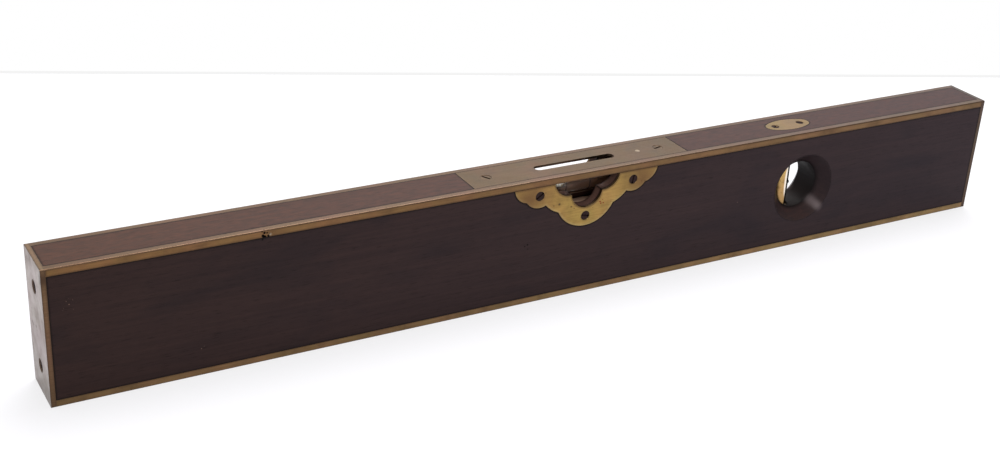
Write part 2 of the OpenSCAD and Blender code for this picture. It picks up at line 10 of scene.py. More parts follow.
import bmesh
import bpy
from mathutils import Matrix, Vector


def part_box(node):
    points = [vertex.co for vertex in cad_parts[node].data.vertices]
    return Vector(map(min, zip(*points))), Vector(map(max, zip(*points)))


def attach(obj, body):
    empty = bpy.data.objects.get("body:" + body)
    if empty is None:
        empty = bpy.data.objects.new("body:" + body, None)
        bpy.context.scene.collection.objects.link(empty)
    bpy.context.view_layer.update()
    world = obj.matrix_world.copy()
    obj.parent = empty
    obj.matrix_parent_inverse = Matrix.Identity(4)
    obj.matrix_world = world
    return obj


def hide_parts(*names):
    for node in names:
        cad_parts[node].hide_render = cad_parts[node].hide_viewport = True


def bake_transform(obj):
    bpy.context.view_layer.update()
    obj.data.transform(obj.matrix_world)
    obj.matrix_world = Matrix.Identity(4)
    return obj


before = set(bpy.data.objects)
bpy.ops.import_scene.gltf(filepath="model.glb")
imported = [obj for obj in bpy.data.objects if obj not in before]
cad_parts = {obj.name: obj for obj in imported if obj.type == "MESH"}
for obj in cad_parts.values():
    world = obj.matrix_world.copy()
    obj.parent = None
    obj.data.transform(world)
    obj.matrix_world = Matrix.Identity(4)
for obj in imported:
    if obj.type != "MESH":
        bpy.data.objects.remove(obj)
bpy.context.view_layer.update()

bl_info = {
    "name": "Plumb and level",
    "version": (1, 0, 0),
    "blender": (4, 5, 0),
    "location": "View3D > Sidebar > Level",
    "description": "Dresses a brass-bound rosewood plumb and level in its materials",
    "category": "Object",
}

MM = 0.001
# Places and lengths in millimetres: half the level's length, its front face and its middle
HALF_LENGTH_MM = 330.2
FRONT_MM = -16.9
MIDDLE_MM = (0.0, 0.0, 41.3)
# The plumb port: its middle, the radius of its waist and how far from that the wood is darker
PORT_CENTRE = (173.4, 0.0, 41.9)
PORT_RADIUS = 16.3
DARK_MOUTH = 7.0
# The raw wood round the mortise, just past its ends and its floor, up to the side plates and
# the top plate: how far it reaches from the middle along and across, and its lowest and highest
# places; and half the width of the paler part along the middle
RAW_REACH = 54.0
RAW_HALF = 15.2
RAW_LOW = 52.5
RAW_HIGH = 81.2
PALE_HALF = 8.3
# The side plates' screws, along and up
SIDE_SCREWS = ((-33.5, 72.1), (0.0, 53.4), (33.5, 72.1))
# The spring on the adjusting screw: its wire in metres, and its turns
WIRE = 0.8 * MM
SPRING_TURNS = 5
# The index lines: how far past the bubble's ends they stand, and how much broader the plumb's is
LINE_GAP = 1 * MM
PLUMB_LINE = 2.6
WHITE = (1.0, 1.0, 1.0, 1.0)
# Sockets of a Mix node that mixes colours
COLOUR_A, COLOUR_B, COLOUR_OUT = 6, 7, 2


def linear(hex_colour):
    """The linear colour that an sRGB hex value such as 8a7764 stands for."""
    parts = [int(hex_colour[i : i + 2], 16) / 255 for i in (0, 2, 4)]
    return tuple(p / 12.92 if p <= 0.04045 else ((p + 0.055) / 1.055) ** 2.4 for p in parts)


def colour_property(name, hex_colour, description):
    """A colour that a user may change, with its default as an sRGB hex value."""
    return bpy.props.FloatVectorProperty(
        name=name,
        description=description,
        default=linear(hex_colour),
        min=0.0,
        max=1.0,
        size=3,
        subtype="COLOR",
    )


class WoodLook(bpy.types.PropertyGroup):
    """Colours and sizes of the rosewood."""

    dark: colour_property("Dark wood", "2b2021", "Dark heartwood between the streaks")
    red: colour_property("Red streaks", "3c2c2a", "Colour of the lighter, redder streaks")
    band: colour_property("Black figure", "211c20", "Colour of the blue-black bands of the figure")
    # The dusty top's colour is dust and painted sheen
    dust_and_painted_light: colour_property("Dusty top", "533d36", "Top face under old wax and dust")
    raw: colour_property("Raw wood", "574038", "Unfinished wood in the windows")
    # The mortise colour is unfinished wood painted paler, to stand in for light that hardly
    # reaches it
    mortise: colour_property("Mortise", "b0917c", "Pale unfinished wood in the mortise")
    # The pore colour also lays painted shade: at the wood's edges, in the port and in the
    # countersinks
    pore_and_shade: colour_property("Pores", "080606", "Colour in the open pores and in the glue lines")
    # A painted highlight on the polished flank of the port's mouth
    port_highlight: colour_property("Polished port", "6e6262", "Port's mouth where fingers polished it")
    speck: colour_property("Specks", "5e4a41", "Colour of pale specks where the wax has gone")
    streak: bpy.props.FloatProperty(
        name="Streak width",
        description="Width of a streak of the grain",
        default=1.8 * MM,
        min=0.5 * MM,
        unit="LENGTH",
    )
    roughness: bpy.props.FloatProperty(
        name="Wax roughness",
        description="Roughness of the waxed surface",
        default=0.42,
        min=0.0,
        max=1.0,
        subtype="FACTOR",
    )
    sheen: bpy.props.FloatProperty(
        name="Wax sheen",
        description="Specular level of the waxed surface",
        default=0.06,
        min=0.0,
        max=1.0,
        subtype="FACTOR",
    )


class BrassLook(bpy.types.PropertyGroup):
    """Colours of the brass pieces."""

    front: colour_property("Top bindings", "765a3e", "Brass of the top bindings' upright faces")
    sole: colour_property("Sole bindings", "876748", "Brass of the sole bindings' upright faces")
    # Dust and painted shade: a darker, greyer copy of the bindings' brass for their top faces
    upper: colour_property("Bindings, top", "655041", "The same brass where dust dulls it")
    # Handled brass, painted with the pale room that the outer face reflects
    end: colour_property("End plates", "948989", "Handled outer face of the end plates")
    end_edge: colour_property("Left plate edge", "6e5746", "Brown edge of the left end plate")
    dark_edge: colour_property("Right plate edge", "544539", "Darker edge of the right end plate")
    top: colour_property("Top plate", "594736", "Dull brass of the top plate")
    upper_end: colour_property("End plates, top", "7d6754", "Top edge of the end plates")
    ear: colour_property("Ears", "694d35", "Duller brass towards the ends of the side plates")
    copper: colour_property("Red spots", "7c3b26", "Copper-red spots where the zinc has gone")
    side: colour_property("Side plates", "9d804a", "Brighter brass of the lobed side plates")
    cover: colour_property("Oval cover", "816844", "Brass of the cover over the plumb vial")
    rivet: colour_property("Rivet", "988772", "Bright riveted end of the adjusting screw")
    case: colour_property("Plumb case", "a58247", "Drawn brass of the half tube in the port")
    # Painted highlight on the half tube's faces that look out of the port
    case_highlight: colour_property("Plumb case, front", "c4a064", "The same tube where it faces out")
    hidden: colour_property("Level case", "7a6150", "Brass in the mortise, brown with age")
    # The tarnish colour also lays painted shade: in corners, on arrises and towards the sole
    tarnish_and_shade: colour_property("Tarnish", "45352a", "Brown tarnish in the dull places")


class VialLook(bpy.types.PropertyGroup):
    """Colours and sizes of the two vials."""

    glass: colour_property("Glass", "eef2ee", "Tint of the glass")
    # The dusty glass colour is dust and a painted view of the lit wood behind the glass
    dust_and_painted_light: colour_property("Dusty glass", "755443", "Flanks of the level vial under dust")
    spirit: colour_property("Spirit", "f8f5e6", "Tint of the spirit")
    yellow: colour_property("Old spirit", "d9cf8c", "Yellower tint of the level vial's spirit")
    line: colour_property("Index line", "14120f", "Fills the lines etched round a vial")
    line_width: bpy.props.FloatProperty(
        name="Index line width",
        description="Width of the lines etched round a vial",
        default=0.5 * MM,
        min=0.1 * MM,
        unit="LENGTH",
    )


class StageLook(bpy.types.PropertyGroup):
    """The table, the lamps and the camera."""

    # The table colour is also that of the grey strip of painted shade along the table's far edge
    table: colour_property("Table", "f0eef6", "Colour of the table and of the rail behind it")
    key_power: bpy.props.FloatProperty(
        name="Key lamp",
        description="Power of the large lamp above and behind",
        default=30.0,
        min=0.0,
        unit="POWER",
    )
    fill_power: bpy.props.FloatProperty(
        name="Fill lamp",
        description="Power of the large lamp at the front",
        default=9.0,
        min=0.0,
        unit="POWER",
    )
    sky: bpy.props.FloatProperty(
        name="Room light",
        description="Strength of the light from all round",
        default=0.55,
        min=0.0,
    )
    camera_at: bpy.props.FloatVectorProperty(
        name="Camera position",
        description="Where the camera stands",
        default=(-0.479483, -0.7274, 0.453277),
        size=3,
        subtype="TRANSLATION",
        unit="LENGTH",
    )
    camera_turn: bpy.props.FloatVectorProperty(
        name="Camera rotation",
        description="Tilt, roll and heading of the camera",
        default=tuple(math.radians(a) for a in (64.19553, -3.06631, -29.06758)),
        size=3,
        subtype="EULER",
        unit="ROTATION",
    )
    lens: bpy.props.FloatProperty(
        name="Lens",
        description="Focal length on a sensor 36 mm wide",
        default=55.248,
        min=1.0,
        unit="CAMERA",
    )


# Materials


def add(tree, kind, sockets=None, **settings):
    """Adds a shader node: its own settings, then a value or a link for each socket named."""
    node = tree.nodes.new("ShaderNode" + kind)
    for name, value in settings.items():
        setattr(node, name, value)
    for name, value in (sockets or {}).items():
        if isinstance(value, bpy.types.NodeSocket):
            tree.links.new(value, node.inputs[name])
        else:
            node.inputs[name].default_value = value
    return node


def new_material(name, **constants):
    """A material, its tree, its Principled surface and a node that gives places in millimetres."""
    material = bpy.data.materials.new(name)
    material.use_nodes = True
    tree = material.node_tree
    surface = tree.nodes["Principled BSDF"]
    for socket, value in constants.items():
        surface.inputs[socket.replace("_", " ")].default_value = value
    place = add(tree, "TexCoord").outputs["Object"]
    mm = add(tree, "VectorMath", {0: place, "Scale": 1 / MM}, operation="SCALE")
    return material, tree, surface, mm.outputs["Vector"]


def highest(tree, *values):
    """The highest of several values from 0 to 1."""
    top = values[0]
    for value in values[1:]:
        top = add(
            tree, "Math", {0: top, 1: value}, operation="MAXIMUM", use_clamp=True
        ).outputs["Value"]
    return top


def rounded_edge(tree, width):
    """Three sockets: 1 on the last part of a face before an edge, width metres wide, and 0
    elsewhere; the normal as a rounding of the edge would turn it; and that normal's share of
    the face's own."""
    rounded = add(tree, "Bevel", {"Radius": width}, samples=6).outputs["Normal"]
    normal = add(tree, "NewGeometry").outputs["True Normal"]
    same = add(
        tree, "VectorMath", {0: rounded, 1: normal}, operation="DOT_PRODUCT"
    ).outputs["Value"]
    near = add(tree, "MapRange", {"Value": same, "From Min": 0.99, "From Max": 0.86})
    return near.outputs["Result"], rounded, same


def paint(material, mask, colour):
    """Lays a colour over a material's own wherever mask is 1."""
    tree = material.node_tree
    socket = tree.nodes["Principled BSDF"].inputs["Base Color"]
    own = socket.links[0].from_socket
    over = add(tree, "Mix", {0: mask, COLOUR_A: own, COLOUR_B: (*colour, 1)}, data_type="RGBA")
    tree.links.new(over.outputs[COLOUR_OUT], socket)


def patch(material, centre, reach, colour, amount, grain_mm=0.0, solid=0.0):
    """Lays a patch of colour over a material: amount at its middle, nothing at reach millimetres
    from it. With grain_mm the patch breaks up into dots that far apart, which are smaller further
    out; up to the share solid of its reach it doesn't fade."""
    tree = material.node_tree
    place = add(tree, "TexCoord").outputs["Object"]
    away = add(tree, "VectorMath", {0: place, 1: Vector(centre) * MM}, operation="DISTANCE")
    share = add(
        tree,
        "MapRange",
        {"Value": away.outputs["Value"], "From Min": solid * reach * MM, "From Max": reach * MM,
         "To Min": amount, "To Max": 0.0},
        interpolation_type="SMOOTHSTEP",
    ).outputs["Result"]
    if grain_mm:
        cells = add(tree, "TexVoronoi", {"Vector": place, "Scale": 1 / (grain_mm * MM)})
        size = add(tree, "Math", {0: share, 1: 0.5}, operation="MULTIPLY")
        share = add(
            tree,
            "Math",
            {0: cells.outputs["Distance"], 1: size.outputs["Value"]},
            operation="LESS_THAN",
        ).outputs["Value"]
    paint(material, share, colour)


def oval(tree, place, centre, stretch, outer, inner):
    """1 up to the distance inner from a centre and 0 from outer on, where lengths are first
    multiplied by stretch."""
    away = add(tree, "VectorMath", {0: place, 1: centre}, operation="SUBTRACT")
    narrow = add(
        tree, "VectorMath", {0: away.outputs["Vector"], 1: stretch}, operation="MULTIPLY"
    )
    reach = add(tree, "VectorMath", {0: narrow.outputs["Vector"]}, operation="LENGTH")
    return add(
        tree,
        "MapRange",
        {"Value": reach.outputs["Value"], "From Min": outer, "From Max": inner},
    ).outputs["Result"]


def end_to_end(tree, mm, colour, left, right):
    """Tints a colour, by one tint at the left end of the level and by another at its right end."""
    along = add(tree, "SeparateXYZ", {0: mm}).outputs["X"]
    share = add(
        tree,
        "MapRange",
        {"Value": along, "From Min": -HALF_LENGTH_MM, "From Max": HALF_LENGTH_MM},
    )
    tint = add(
        tree,
        "Mix",
        {0: share.outputs["Result"], COLOUR_A: (*left, 1), COLOUR_B: (*right, 1)},
        data_type="RGBA",
    )
    tinted = add(
        tree, "VectorMath", {0: colour, 1: tint.outputs[COLOUR_OUT]}, operation="MULTIPLY"
    )
    return tinted.outputs["Vector"]


def planed_wood(tree, mm, look):
    """The colour of heartwood: redder streaks along its length under blue-black bands, and the
    noise that the streaks follow."""
    # Figure: bands about 90 mm long and 30 mm across, which lean over as they cross a face
    lean = add(
        tree,
        "Mapping",
        {"Vector": mm, "Scale": (0.35, 1.0, 1.0), "Rotation": (0.0, math.radians(14), 0.0)},
    ).outputs["Vector"]
    figure = add(
        tree, "TexNoise", {"Vector": lean, "Scale": 0.033, "Detail": 3.0, "Distortion": 0.8}
    )
    bands = add(
        tree,
        "MapRange",
        {"Value": figure.outputs["Fac"], "From Min": 0.5, "From Max": 0.75, "To Max": 0.5},
    )
    # Streaks: the grain proper, about forty times as long as they are wide
    grain_mm = add(tree, "Mapping", {"Vector": mm, "Scale": (0.025, 1.0, 1.0)}).outputs["Vector"]
    streaks = add(
        tree,
        "TexNoise",
        {"Vector": grain_mm, "Scale": MM / look.streak, "Detail": 8.0, "Roughness": 0.72,
         "Distortion": 0.15},
    ).outputs["Fac"]
    redness = add(tree, "MapRange", {"Value": streaks, "From Min": 0.2, "From Max": 0.8})
    streaked = add(
        tree,
        "Mix",
        {0: redness.outputs["Result"], COLOUR_A: (*look.dark, 1), COLOUR_B: (*look.red, 1)},
        data_type="RGBA",
    )
    banded = add(
        tree,
        "Mix",
        {0: bands.outputs["Result"], COLOUR_A: streaked.outputs[COLOUR_OUT],
         COLOUR_B: (*look.band, 1)},
        data_type="RGBA",
    )
    # The wood is darker at the left end and greyer at the right: painted sheen, which grows where
    # the face is seen at a more grazing angle
    left, right = (0.75, 0.72, 0.65), (0.86, 0.98, 1.14)
    return end_to_end(tree, mm, banded.outputs[COLOUR_OUT], left, right), streaks


def dust_and_sheen_top(tree, mm, look, wood, streaks):
    """The wood's colour with old wax and dust on the top face, which lie in clouds, some redder
    and some greyer, and leave the darkest streaks showing through. The top face's paler colour is
    painted sheen as well as dust, and so is its tint from end to end, greyer towards the right."""
    cloud_mm = add(tree, "Mapping", {"Vector": mm, "Scale": (0.3, 1.0, 1.0)}).outputs["Vector"]
    clouds = add(
        tree, "TexNoise", {"Vector": cloud_mm, "Scale": 0.4, "Detail": 6.0, "Roughness": 0.7}
    )
    redder = add(
        tree, "MapRange", {"Value": clouds.outputs["Fac"], "From Min": 0.35, "From Max": 0.65}
    )
    cast = add(
        tree,
        "Mix",
        {0: redder.outputs["Result"], COLOUR_A: (0.76, 0.86, 0.91, 1),
         COLOUR_B: (1.22, 1.1, 1.05, 1)},
        data_type="RGBA",
    )
    dust_and_painted_light = add(
        tree, "VectorMath", {0: look.dust_and_painted_light, 1: cast.outputs[COLOUR_OUT]}, operation="MULTIPLY"
    )
    # Painted sheen: greyer and bluer towards the right end, where the top is seen at a more
    # grazing angle
    dust_and_painted_light = end_to_end(tree, mm, dust_and_painted_light.outputs["Vector"], (0.84, 0.77, 0.69), (0.72, 0.8, 0.97))
    normal = add(tree, "NewGeometry").outputs["True Normal"]
    up = add(tree, "VectorMath", {0: normal, 1: (0, 0, 1)}, operation="DOT_PRODUCT")
    thin = add(
        tree,
        "MapRange",
        {"Value": streaks, "From Min": 0.3, "From Max": 0.7, "To Min": 0.62, "To Max": 0.98},
    )
    # Dust and painted sheen lie on the faces that look up, thinner over the darkest streaks
    dusty_and_painted = add(
        tree,
        "Math",
        {0: up.outputs["Value"], 1: thin.outputs["Result"]},
        operation="MULTIPLY",
        use_clamp=True,
    )
    return add(
        tree,
        "Mix",
        {0: dusty_and_painted.outputs["Value"], COLOUR_A: wood, COLOUR_B: dust_and_painted_light},
        data_type="RGBA",
    ).outputs[COLOUR_OUT]


def raw_inside(tree, mm, look, waxed):
    """The wood's colour with the places that were left raw: the windows' walls, and paler still
    the middle of the mortise behind them, whose paleness is also painted light that makes up for
    the light that hardly reaches into the mortise."""
    reach = add(tree, "VectorMath", {0: mm}, operation="ABSOLUTE").outputs["Vector"]
    along, across, height = add(tree, "SeparateXYZ", {0: reach}).outputs
    raw = None
    for value, limit, test in (
        (along, RAW_REACH, "LESS_THAN"),
        (across, RAW_HALF, "LESS_THAN"),
        (height, RAW_LOW, "GREATER_THAN"),
        (height, RAW_HIGH, "LESS_THAN"),
    ):
        inside = add(tree, "Math", {0: value, 1: limit}, operation=test).outputs["Value"]
        if raw is not None:
            inside = add(tree, "Math", {0: raw, 1: inside}, operation="MULTIPLY").outputs["Value"]
        raw = inside
    # The mortise's middle is painted pale: unfinished wood, lightened to stand in for light
    deep = add(tree, "Math", {0: across, 1: PALE_HALF}, operation="LESS_THAN")
    unwaxed_and_lightened = add(
        tree,
        "Mix",
        {0: deep.outputs["Value"], COLOUR_A: (*look.raw, 1), COLOUR_B: (*look.mortise, 1)},
        data_type="RGBA",
    )
    return add(
        tree,
        "Mix",
        {0: raw, COLOUR_A: waxed, COLOUR_B: unwaxed_and_lightened.outputs[COLOUR_OUT]},
        data_type="RGBA",
    ).outputs[COLOUR_OUT]


def port_shade(tree, mm):
    """How dark the port is, as painted shade in its hollow: its waist is nearly black and its
    mouth is darker than the face."""
    from_port = add(tree, "VectorMath", {0: mm, 1: PORT_CENTRE}, operation="SUBTRACT")
    in_face = add(
        tree,
        "VectorMath",
        {0: from_port.outputs["Vector"], 1: (1.0, 0.0, 1.0)},
        operation="MULTIPLY",
    )
    radius = add(
        tree, "VectorMath", {0: in_face.outputs["Vector"]}, operation="LENGTH"
    ).outputs["Value"]
    waist = add(
        tree,
        "MapRange",
        {"Value": radius, "From Min": PORT_RADIUS + 2.0, "From Max": PORT_RADIUS + 0.1,
         "To Min": 0.35, "To Max": 0.85},
    )
    mouth = add(tree, "Math", {0: radius, 1: PORT_RADIUS + DARK_MOUTH}, operation="LESS_THAN")
    return add(
        tree, "Math", {0: waist.outputs["Result"], 1: mouth.outputs["Value"]}, operation="MULTIPLY"
    ).outputs["Value"]


def rosewood(look):
    """Rosewood, planed, oiled and waxed: nearly black heartwood with redder streaks along its
    length, blue-black bands, short dark pores and only a faint wax sheen."""
    material, tree, surface, mm = new_material("waxed_rosewood", Specular_IOR_Level=look.sheen)
    wood, streaks = planed_wood(tree, mm, look)
    waxed = dust_and_sheen_top(tree, mm, look, wood, streaks)
    tree.links.new(raw_inside(tree, mm, look, waxed), surface.inputs["Base Color"])
    # Pores: 0.3 mm wide on the real wood, drawn 0.5 mm wide so that they show
    pore_mm = add(tree, "Mapping", {"Vector": mm, "Scale": (0.07, 1.0, 1.0)}).outputs["Vector"]
    pore_noise = add(tree, "TexNoise", {"Vector": pore_mm, "Scale": 1.9, "Detail": 1.0})
    pores = add(
        tree,
        "MapRange",
        {"Value": pore_noise.outputs["Fac"], "From Min": 0.6, "From Max": 0.72, "To Max": 0.4},
    ).outputs["Result"]
    # The seams along brass are dark with glue and old wax; at the recesses and the wood's other
    # edges, and in the port, the same dark colour is painted shade
    seams_and_shade, _, _ = rounded_edge(tree, 2.4 * MM)
    paint(material, highest(tree, port_shade(tree, mm), pores, seams_and_shade), look.pore_and_shade)
    # A stain, the wood under a nick in the binding, and pale specks where something rubbed
    patch(material, (-40.5, FRONT_MM, 40.2), 4.0, look.pore_and_shade, 0.9, 1.8)
    patch(material, (-209.0, FRONT_MM, 77.9), 4.0, look.pore_and_shade, 0.8, 1.8)
    for x, height, size in (
        (-317.0, 60.0, 7.0),
        (118.4, 40.7, 2.2),
        (-246.0, 17.4, 3.0),
        (232.7, 18.1, 1.8),
    ):
        patch(material, (x, FRONT_MM, height), size, look.speck, 0.55, 1.3)
    # Fingers have polished the lower flank of the port's mouths, and a painted highlight lies
    # there
    for across in (-1, 1):
        patch(material, (186.2, across * 10.6, 29.0), 5.5, look.port_highlight, 0.4)
        patch(material, (188.0, across * 12.8, 27.2), 5.5, look.port_highlight, 0.45)
        patch(material, (189.7, across * 15.0, 25.5), 5.0, look.port_highlight, 0.7)
    rough = add(
        tree,
        "MapRange",
        {"Value": streaks, "From Min": 0.3, "From Max": 0.7, "To Min": look.roughness - 0.05,
         "To Max": look.roughness + 0.08},
    )
    tree.links.new(rough.outputs["Result"], surface.inputs["Roughness"])
    relief = add(
        tree, "Bump", {"Height": pores, "Strength": 0.35, "Distance": 0.05 * MM}, invert=True
    )
    tree.links.new(relief.outputs["Normal"], surface.inputs["Normal"])
    return material


def rolled_brass(tree, mm, normal, tones, ends):
    """The colour of clean brass: its tones, in which the light and shade of faces turned one way
    are painted, rosier in places, with fine lines from rolling.
    """
    base = add(tree, "CombineXYZ", dict(zip("XYZ", tones[0]))).outputs["Vector"]
    # Faces that look along an axis take that axis's tone: a copy of the brass with their light and
    # shade painted in
    for axis, tone in tones[1:]:
        along = add(tree, "VectorMath", {0: normal, 1: axis}, operation="DOT_PRODUCT")
        turned = add(tree, "Math", {0: along.outputs["Value"]}, operation="ABSOLUTE")
        base = add(
            tree,
            "Mix",
            {0: turned.outputs["Value"], COLOUR_A: base, COLOUR_B: (*tone, 1)},
            data_type="RGBA",
        ).outputs[COLOUR_OUT]
    base = end_to_end(tree, mm, base, *ends)
    # Parts of the surface are rosier, where the zinc has gone from it
    cast = add(tree, "TexNoise", {"Vector": mm, "Scale": 0.05, "Detail": 3.0})
    rosy = add(
        tree, "MapRange", {"Value": cast.outputs["Fac"], "From Min": 0.4, "From Max": 0.62}
    )
    rose = add(
        tree,
        "Mix",
        {0: rosy.outputs["Result"], COLOUR_A: (0.97, 1.01, 0.96, 1),
         COLOUR_B: (1.03, 0.98, 1.02, 1)},
        data_type="RGBA",
    )
    base = add(
        tree, "VectorMath", {0: base, 1: rose.outputs[COLOUR_OUT]}, operation="MULTIPLY"
    ).outputs["Vector"]
    # Rolling lines, 0.4 mm apart, on a slow drift of tone about 100 mm long
    line_mm = add(tree, "Mapping", {"Vector": mm, "Scale": (0.03, 1.0, 1.0)}).outputs["Vector"]
    lines = add(tree, "TexNoise", {"Vector": line_mm, "Scale": 2.5, "Detail": 2.0})
    drift = add(tree, "TexNoise", {"Vector": mm, "Scale": 0.01, "Detail": 3.0})
    both = add(
        tree, "Math", {0: lines.outputs["Fac"], 1: drift.outputs["Fac"]}, operation="ADD"
    )
    shade = add(
        tree,
        "MapRange",
        {"Value": both.outputs["Value"], "From Min": 0.7, "From Max": 1.3, "To Min": 0.8,
         "To Max": 1.2},
    )
    return add(
        tree, "VectorMath", {0: base, "Scale": shade.outputs["Result"]}, operation="SCALE"
    ).outputs["Vector"]


def all_and_outer_edges(tree, mm, normal, edge_mm, middle, out):
    """A mask of every edge, and one of those edges that lie outwards from the middle."""
    near_edge, rounded, same = rounded_edge(tree, edge_mm * MM)
    # The part of the rounded normal that lies in the face points over the edge
    across = add(tree, "VectorMath", {0: normal, "Scale": same}, operation="SCALE")
    over = add(
        tree, "VectorMath", {0: rounded, 1: across.outputs["Vector"]}, operation="SUBTRACT"
    )
    from_middle = add(tree, "VectorMath", {0: mm, 1: middle}, operation="SUBTRACT")
    outward = add(
        tree, "VectorMath", {0: from_middle.outputs["Vector"], 1: out}, operation="MULTIPLY"
    )
    leaning = add(
        tree,
        "VectorMath",
        {0: over.outputs["Vector"], 1: outward.outputs["Vector"]},
        operation="DOT_PRODUCT",
    )
    outer = add(tree, "Math", {0: leaning.outputs["Value"], 1: 0.0}, operation="GREATER_THAN")
    outer_edge = add(
        tree, "Math", {0: near_edge, 1: outer.outputs["Value"]}, operation="MULTIPLY"
    )
    return near_edge, outer_edge.outputs["Value"]


def arris(tree, normal, outer_edge, hide):
    """A mask of the outer edges of the faces that don't show, and of the rounding of every
    arris, whose normal looks along none of the axes."""
    sizes = add(tree, "VectorMath", {0: normal}, operation="ABSOLUTE").outputs["Vector"]
    largest = highest(tree, *add(tree, "SeparateXYZ", {0: sizes}).outputs)
    rounding = add(tree, "MapRange", {"Value": largest, "From Min": 0.985, "From Max": 0.94})
    below = add(tree, "Math", {0: outer_edge, 1: hide}, operation="MULTIPLY")
    return highest(tree, below.outputs["Value"], rounding.outputs["Result"])


def corrosion(tree, mm):
    """A mask of spots about 1 mm across, 3 mm apart, which cluster where tarnish is thick."""
    cells = add(tree, "TexVoronoi", {"Vector": mm, "Scale": 0.35, "Randomness": 1.0})
    crowd = add(tree, "TexNoise", {"Vector": mm, "Scale": 0.12, "Detail": 2.0})
    size = add(
        tree,
        "MapRange",
        {"Value": crowd.outputs["Fac"], "From Min": 0.45, "From Max": 0.7, "To Max": 0.24},
    )
    return add(
        tree,
        "Math",
        {0: cells.outputs["Distance"], 1: size.outputs["Result"]},
        operation="LESS_THAN",
    ).outputs["Value"]


def brass(name, tones, tarnish_and_shade, mottle_mm, dull, roughness, face=(0, 0, 1), middle=MIDDLE_MM,
          out=(1, 1, 1), edge_mm=0.7, wear_and_highlight=(0.15, 0.15, 0.15), seam_dirt=0.85, line=0.0,
          cut=0.0, spots=0.0, foot=0.0, ends=((1.02, 0.97, 0.88), (0.98, 1.03, 1.13))):
    """Brass under a film of tarnish. Every piece has brown clouds mottle_mm across, fine lines
    along its length from rolling, and dark grime in its corners, where the darkness is also
    painted shade. The further settings:
    tones: the base tone, then an axis and a tone for the faces that look along that axis, which
    is a copy of the brass with the light and shade of the faces turned that way painted in
    face: the way its show face looks; the cut edges round that face have gone brown by cut
    middle, out: the point and the directions from which an edge counts as an outer one
    edge_mm: width of an edge's wear and of the light painted along it
    worn: how much brighter its rim on the show face is, in red, green and blue: rubbed wear with
    a painted highlight
    line: how dark an outer edge is on the other faces and the rounding of every arris, as painted
    shade for the dark room that a rounded edge reflects, which also takes the lamp's glint off it
    seam_dirt: how dark the inner edges are with dirt from the seams
    spots: how dark small spots of corrosion are, foot: how much darker it gets towards the sole,
    which on the end plates is painted shade, the shadowed floor seen in them
    ends: tints of the brass at the left and at the right end of the level"""
    material, tree, surface, mm = new_material(name, Metallic=1.0)
    normal = add(tree, "NewGeometry").outputs["True Normal"]
    clean = rolled_brass(tree, mm, normal, tones, ends)
    # How much a face is the show face, and how much it is turned away from it
    towards = add(tree, "VectorMath", {0: normal, 1: face}, operation="DOT_PRODUCT")
    show = add(tree, "Math", {0: towards.outputs["Value"]}, operation="ABSOLUTE").outputs["Value"]
    hide = add(
        tree, "MapRange", {"Value": show, "From Min": 0.7, "From Max": 0.3}
    ).outputs["Result"]
    near_edge, outer_edge = all_and_outer_edges(tree, mm, normal, edge_mm, middle, out)
    seam = add(tree, "Math", {0: near_edge, 1: outer_edge}, operation="SUBTRACT").outputs["Value"]
    clouds = add(
        tree,
        "TexNoise",
        {"Vector": mm, "Scale": 1 / mottle_mm, "Detail": 6.0, "Roughness": 0.62},
    ).outputs["Fac"]
    film = add(
        tree,
        "MapRange",
        {"Value": clouds, "From Min": 0.42, "From Max": 0.72, "To Max": dull},
    )
    # Painted shade with the grime: darker where ambient occlusion finds corners and recesses
    # within 1.5 mm
    open_sky = add(tree, "AmbientOcclusion", {"Distance": 1.5 * MM}, samples=4)
    grime_and_shade = add(
        tree,
        "MapRange",
        {"Value": open_sky.outputs["AO"], "From Min": 0.85, "From Max": 0.35, "To Max": 0.9},
    )
    # Each of these masks adds tarnish colour, by its amount, for dirt and for painted shade; the
    # darkest one counts
    dirt_and_shade = [film.outputs["Result"], grime_and_shade.outputs["Result"]]
    masks = [(seam, seam_dirt)]
    if foot:
        # Darker towards the sole: on the end plates painted shade, the shadowed floor they reflect
        height = add(tree, "SeparateXYZ", {0: mm}).outputs["Z"]
        low = add(tree, "MapRange", {"Value": height, "From Min": 60.0, "From Max": 0.0})
        masks.append((low.outputs["Result"], foot))
    if cut:
        masks.append((hide, cut))
    if line:
        # Painted shade on the arrises: the dark room that a rounded edge reflects, and no lamp
        # glint there
        masks.append((arris(tree, normal, outer_edge, hide), line))
    if spots:
        masks.append((corrosion(tree, mm), spots))
    for mask, amount in masks:
        share = add(tree, "Math", {0: mask, 1: amount}, operation="MULTIPLY")
        dirt_and_shade.append(share.outputs["Value"])
    if wear_and_highlight:
        # A brighter rim on the show face: rubbed wear with a painted highlight
        bright_rim = add(tree, "Math", {0: outer_edge, 1: show}, operation="MULTIPLY")
        gain = add(
            tree, "VectorMath", {0: wear_and_highlight, "Scale": bright_rim.outputs["Value"]}, operation="SCALE"
        )
        clean = add(
            tree,
            "VectorMath",
            {0: clean, 1: gain.outputs["Vector"], 2: clean},
            operation="MULTIPLY_ADD",
        ).outputs["Vector"]
    tree.links.new(clean, surface.inputs["Base Color"])
    # The tarnish colour lays tarnish, dirt and painted shade
    paint(material, highest(tree, *dirt_and_shade), tarnish_and_shade)
    rough = add(
        tree,
        "MapRange",
        {"Value": clouds, "From Min": 0.35, "From Max": 0.7, "To Min": roughness - 0.06,
         "To Max": roughness + 0.12},
    )
    tree.links.new(rough.outputs["Result"], surface.inputs["Roughness"])
    relief = add(tree, "Bump", {"Height": clouds, "Strength": 0.15, "Distance": 0.2 * MM})
    tree.links.new(relief.outputs["Normal"], surface.inputs["Normal"])
    return material


